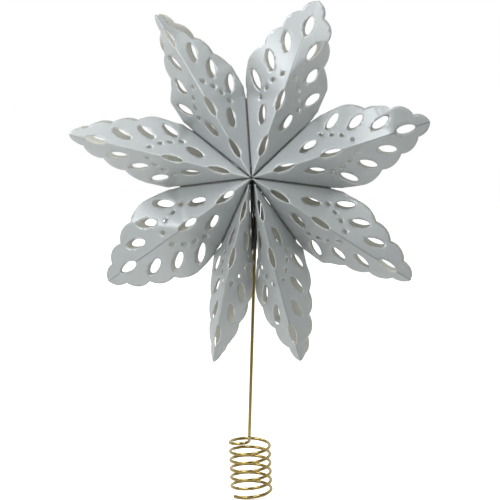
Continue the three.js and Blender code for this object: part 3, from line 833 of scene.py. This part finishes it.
def wire_surface(wire, top):
    """Round tube along the wire's path, its rims turned over at both cut ends.

    Above the bend each ring is set out from the sideways direction, and below it from
    upright, so no ring twists against the next.
    """
    path, bend_end = wire_path(wire, top)
    heading = np.gradient(path, axis=0)
    heading /= np.linalg.norm(heading, axis=1)[:, None]
    sideways = np.tile((1.0, 0.0, 0.0), (len(path), 1))
    upright = np.array((0.0, 0.0, 1.0)) - heading * heading[:, 2:3]
    lower = np.arange(len(path)) >= bend_end
    upright[~lower] = np.cross(heading[~lower], sideways[~lower])
    upright /= np.linalg.norm(upright, axis=1)[:, None]
    sideways = np.cross(upright, heading)
    radius = wire.wire_radius / MM
    turned = full_turn(20)[None, :, None]
    size = np.full(len(path), radius)
    size[0] = size[-1] = 0.82 * radius
    ring = sideways[:, None, :] * np.cos(turned) + upright[:, None, :] * np.sin(turned)
    return path[:, None, :] + size[:, None, None] * ring


def strap_surface(sizes, wire, cover_face):
    """Paper strap over the wire: a strip carried along a tent-shaped path across the stem.

    The path runs flat on the cover, rises straight to the wire, rounds it as an arc, and
    falls again. Each ring round the strip is a flattened oval, tall along the stem.
    """
    half_sheet = sizes.sheet / MM / 2
    radius = wire.wire_radius / MM + half_sheet + FIXING_GAP
    foot = cover_face + half_sheet + FIXING_GAP
    reach = math.radians(68)
    turned = np.linspace(reach, -reach, 25)
    over = np.stack((radius * np.cos(turned), radius * np.sin(turned)), axis=1)
    fall = (over[0, 0] - foot) / math.sin(reach)
    landing = over[0, 1] + fall * math.cos(reach)
    rise = np.linspace((foot, landing), over[0], 12)[:-1]
    wing = np.linspace((foot, wire.strap_wing / MM), (foot, landing), 12)[:-1]
    way = np.concatenate((wing, rise, over, (rise * (1, -1))[::-1], (wing * (1, -1))[::-1]))
    way[2:-2] = (way[:-4] + way[1:-3] + way[2:-2] + way[3:-1] + way[4:]) / 5
    heading = np.gradient(way, axis=0)
    heading /= np.linalg.norm(heading, axis=1)[:, None]
    normal = np.stack((-heading[:, 1], heading[:, 0]), axis=1)
    turned = full_turn(40)
    tall = squared(np.cos(turned), 0.3)
    thick = squared(np.sin(turned), 0.6)
    flat = way[:, None, :] + half_sheet * thick[None, :, None] * normal[:, None, :]
    middle = (sizes.star_height - wire.strap_top - wire.strap_length / 2) / MM
    height = np.broadcast_to(middle + wire.strap_length / MM / 2 * tall, flat.shape[:2])
    return np.stack((flat[..., 0], flat[..., 1], height), axis=-1)


def magnet_surface(wire, plate, off, facing):
    """A thin disc with rounded rims: its edge profile turned about its own axis.

    The profile is a quarter circle at each rim with a straight side between.
    """
    radius, half = wire.magnet_radius / MM, wire.magnet_thickness / MM / 2
    rim = 0.15
    bend = np.linspace(0.0, math.pi / 2, 7)
    out = np.r_[radius - rim + rim * np.sin(bend), radius - rim + rim * np.cos(bend)]
    up = np.r_[-half + rim - rim * np.cos(bend), half - rim + rim * np.sin(bend)]
    turned = full_turn(64)
    outward = wire.magnet_out / MM + out[:, None] * np.cos(turned)
    depth = facing * wire.magnet_depth / MM + out[:, None] * np.sin(turned)
    return on_plate(plate, outward, off + up[:, None], depth)


def star_parts(scene):
    """Sizes, wire and finish settings, the folds of the points and the plates round the hub."""
    sizes = scene.star_sizes
    folds = [fold_point(sizes, point) for point in POINTS]
    return sizes, scene.star_wire, scene.star_finish, folds, stand_plates(sizes, folds)


class STAR_OT_points(bpy.types.Operator):
    """Fold the thirty-two cut panels of the eight points"""
    bl_idname = "star.points"
    bl_label = "Folded points"

    def execute(self, context):
        sizes, _, finish, folds, plates = star_parts(context.scene)
        patterns = {}
        for number, fold in enumerate(folds, start=1):
            if fold.inset not in patterns:
                patterns[fold.inset] = cut_pattern(sizes, fold)
            for face in ("front", "back"):
                for side in ("a", "b"):
                    add_panel(sizes, finish, patterns[fold.inset], fold, number, face, side, plates)
        return {"FINISHED"}


class STAR_OT_seams(bpy.types.Operator):
    """Stand the seven glued seams and the two covers round the hub"""
    bl_idname = "star.seams"
    bl_label = "Seams and covers"

    def execute(self, context):
        sizes, _, finish, _, plates = star_parts(context.scene)
        paper = finish_named("silver pearl coated paper", silver_pearl_paper, finish)
        card = finish_named("silver coated card", coated_card, finish)
        for k, plate in enumerate(plates):
            if k in (0, len(plates) - 1):
                node = "last_cover" if k else "first_cover"
                body = node if k else "stem"
                surface = plate_surface(sizes, plate, sizes.slim_inset / MM, sizes.cover_card / MM)
                put_mesh(f"card_{node}", *closed_grid(surface), body, "silver_card", node, [card])
            else:
                node = f"seam_{k}"
                points, faces = closed_grid(plate_surface(sizes, plate, SEAM_START, SEAM_THICKNESS))
                rod, rod_faces = closed_grid(roll_surface(sizes, plate))
                faces += [[i + len(points) for i in face] for face in rod_faces]
                # The seam plate is painted dark as shade in the groove between panels, and its rolled end
                # paler.
                put_mesh(
                    f"glued_{node}", np.concatenate((points, rod)), faces, node, "silver_paper", node,
                    [paper], wear_and_shade=np.repeat((SEAM_SHADE, ROLL_PALE), (len(points), len(rod))),
                )
        return {"FINISHED"}


class STAR_OT_wire(bpy.types.Operator):
    """Bend the stem and wind the coil"""
    bl_idname = "star.wire"
    bl_label = "Wire stem and coil"

    def execute(self, context):
        scene = context.scene
        sizes, wire, finish = scene.star_sizes, scene.star_wire, scene.star_finish
        brass = finish_named("bright drawn brass wire", drawn_brass, finish)
        surface = wire_surface(wire, (sizes.star_height - wire.stem_top) / MM)
        put_mesh("round_wire", *closed_grid(surface), "stem", "brass_wire", "wire_stem_and_coil", [brass])
        return {"FINISHED"}


class STAR_OT_fixings(bpy.types.Operator):
    """Lay the strap over the stem and set the four magnets"""
    bl_idname = "star.fixings"
    bl_label = "Strap and magnets"

    def execute(self, context):
        sizes, wire, finish, _, plates = star_parts(context.scene)
        half_card = sizes.cover_card / MM / 2
        # The strap is darker than plain paper, as painted shade of the slot it lies in.
        strap = finish_named("plain strap paper", uncoated_paper, finish.strap, 0.1)
        surface = strap_surface(sizes, wire, plates[0].origin[0] + half_card)
        put_mesh("folded_strap", *closed_grid(surface), "stem", "plain_paper", "stem_strap", [strap])
        nickel = finish_named("nickel plated steel", nickel_plate, finish)
        off = half_card + wire.magnet_thickness / MM / 2 + FIXING_GAP
        covers = (("first", plates[0], -1, "stem"), ("last", plates[-1], 1, "last_cover"))
        for cover, plate, side, body in covers:
            for face, facing in (("front", 1), ("back", -1)):
                node = f"{cover}_cover_magnet_{face}"
                surface = magnet_surface(wire, plate, side * off, facing)
                put_mesh(f"disc_{node}", *closed_grid(surface), body, "plated_magnet", node, [nickel])
        return {"FINISHED"}


class STAR_OT_stage(bpy.types.Operator):
    """Set the floor, the lamps, the white surroundings and the camera"""
    bl_idname = "star.stage"
    bl_label = "Stage"

    def execute(self, context):
        scene = context.scene
        sizes, wire, stage = scene.star_sizes, scene.star_wire, scene.star_stage
        path, _ = wire_path(wire, (sizes.star_height - wire.stem_top) / MM)
        scene.view_settings.view_transform = "Standard"
        self.add_floor(scene, path[:, 2].min() * MM - wire.wire_radius)
        self.add_world(scene, stage)
        middle = Vector((0.0, 0.0, sizes.star_height))
        for name, leftward, upward, power in (
            ("front lamp", 40.0, 25.0, stage.front_power),
            ("side lamp", 90.0, 50.0, stage.side_power),
            ("right lamp", -25.0, 50.0, stage.right_power),
        ):
            self.add_lamp(scene, name, middle, leftward, upward, power)
        self.add_camera(scene, stage, middle)
        return {"FINISHED"}

    def add_floor(self, scene, height):
        """A wide white floor under the coil, seen as plain white but for the shadow."""
        mesh = bpy.data.meshes.new("floor")
        half = 3.0
        corners = [(-half, -half, 0.0), (half, -half, 0.0), (half, half, 0.0), (-half, half, 0.0)]
        mesh.from_pydata(corners, [], [(0, 1, 2, 3)])
        floor = bpy.data.objects.new("floor", mesh)
        floor.location.z = height
        scene.collection.objects.link(floor)
        material, tree = new_material("white paper sweep")
        path = add_node(tree, "LightPath").outputs
        # Metal sees it white behind the star only, as it sees the room.
        across = add_node(tree, "SeparateXYZ", {0: add_node(tree, "TexCoord").outputs["Object"]})
        behind = remap(tree, across.outputs["Y"], 0.0, 0.3, 0.0, 1.0)
        mirrored = reckon(tree, "MAXIMUM", path["Is Glossy Ray"], path["Is Transmission Ray"])
        mirrored = reckon(tree, "MULTIPLY", mirrored, behind)
        seen = reckon(tree, "MAXIMUM", path["Is Camera Ray"], mirrored)
        # The object's shadow stays where it stands on the floor.
        open_sky = add_node(tree, "AmbientOcclusion", {"Distance": 0.03}, samples=8)
        show(tree, {
            "Base Color": linear("#f2f2f0") + (1.0,), "Roughness": 0.9, "Emission Color": WHITE,
            "Emission Strength": reckon(tree, "MULTIPLY", seen, open_sky.outputs["AO"]),
        })
        mesh.materials.append(material)

    def add_world(self, scene, stage):
        """A room that is a white sweep behind and above the star and darkens toward the camera."""
        world = scene.world or bpy.data.worlds.new("white room")
        scene.world = world
        world.use_nodes = True
        tree = world.node_tree
        tree.nodes.clear()
        path = add_node(tree, "LightPath").outputs
        spot = add_node(tree, "TexCoord").outputs["Generated"]
        parts = []
        for way, start, end, front in (
            ((0.0, 1.0, 0.0), 0.0, 0.7, stage.fill), ((0.0, 0.8, 0.6), -0.1, 0.6, stage.room_front),
        ):
            toward = add_node(tree, "VectorMath", {0: spot, 1: way}, operation="DOT_PRODUCT").outputs["Value"]
            strength = remap(tree, toward, start, end, front, 1.0)
            parts.append(add_node(tree, "Background", {"Color": WHITE, "Strength": strength}).outputs[0])
        lit, mirrored = parts
        plain = add_node(tree, "Background", {"Color": WHITE, "Strength": 1.0}).outputs[0]
        unseen = add_node(tree, "MixShader", {0: path["Is Glossy Ray"], 1: lit, 2: mirrored}).outputs[0]
        seen = reckon(tree, "MAXIMUM", path["Is Camera Ray"], path["Is Transmission Ray"])
        surface = add_node(tree, "MixShader", {0: seen, 1: unseen, 2: plain}).outputs[0]
        add_node(tree, "OutputWorld", {"Surface": surface})

    def add_lamp(self, scene, name, middle, leftward, upward, power):
        """A round soft lamp aimed at the star, at angles in degrees from its front."""
        distance, width = 0.7, 0.4
        left, up = math.radians(leftward), math.radians(upward)
        away = Vector((-math.sin(left) * math.cos(up), -math.cos(left) * math.cos(up), math.sin(up)))
        data = bpy.data.lights.new(name, "AREA")
        data.shape = "DISK"
        data.size = width
        data.energy = power
        lamp = bpy.data.objects.new(name, data)
        lamp.location = middle + away * distance
        lamp.rotation_euler = (-away).to_track_quat("-Z", "Y").to_euler()
        scene.collection.objects.link(lamp)

    def add_camera(self, scene, stage, middle):
        """The photograph's view: aimed so that the star's middle falls on its own pixel."""
        data = bpy.data.cameras.new("camera")
        camera = bpy.data.objects.new("camera", data)
        scene.collection.objects.link(camera)
        scene.camera = camera
        azimuth, elevation, roll = stage.azimuth, stage.elevation, stage.roll
        level = math.cos(elevation)
        back = Vector((math.sin(azimuth) * level, -math.cos(azimuth) * level, math.sin(elevation)))
        place = middle + back * stage.distance
        # The picture is 500 pixels square, and the star's middle stands at this pixel.
        picture, (pixel_x, pixel_y) = 500, (256.4, 174.6)
        pixel = stage.frame_width / picture
        right = back.cross(Vector((0.0, 0.0, 1.0))).normalized() * -1.0
        above = back.cross(right)
        picture_right = right * math.cos(roll) + above * math.sin(roll)
        picture_up = above * math.cos(roll) - right * math.sin(roll)
        aim = middle - (
            picture_right * (pixel_x - picture / 2) - picture_up * (pixel_y - picture / 2)
        ) * pixel
        forward = (aim - place).normalized()
        side = forward.cross(picture_up).normalized()
        camera.matrix_world = Matrix((side, side.cross(forward), -forward)).transposed().to_4x4()
        camera.location = place
        data.sensor_width = 36.0
        data.lens = data.sensor_width * (aim - place).length / stage.frame_width
        data.clip_end = 30.0


class STAR_PT_panel(bpy.types.Panel):
    """Steps of the paper snowflake star"""
    bl_label = "Paper snowflake star"
    bl_idname = "STAR_PT_panel"
    bl_space_type = "VIEW_3D"
    bl_region_type = "UI"
    bl_category = "Star"

    def draw(self, context):
        for step in STEPS:
            self.layout.operator(step.bl_idname)
        for group in ("star_sizes", "star_wire", "star_finish", "star_stage"):
            box = self.layout.box()
            settings = getattr(context.scene, group)
            for name in settings.__annotations__:
                box.prop(settings, name)


STEPS = (STAR_OT_stage, STAR_OT_wire, STAR_OT_seams, STAR_OT_points, STAR_OT_fixings)
GROUPS = {"star_sizes": StarSizes, "star_wire": StarWire, "star_finish": StarFinish, "star_stage": StarStage}
CLASSES = (*GROUPS.values(), *STEPS, STAR_PT_panel)


def register():
    for cls in CLASSES:
        bpy.utils.register_class(cls)
    for name, group in GROUPS.items():
        setattr(bpy.types.Scene, name, bpy.props.PointerProperty(type=group))


def unregister():
    for name in GROUPS:
        delattr(bpy.types.Scene, name)
    for cls in reversed(CLASSES):
        bpy.utils.unregister_class(cls)


def main():
    register()
    for step in STEPS:
        group, name = step.bl_idname.split(".")
        getattr(getattr(bpy.ops, group), name)()


if __name__ == "__main__":
    main()
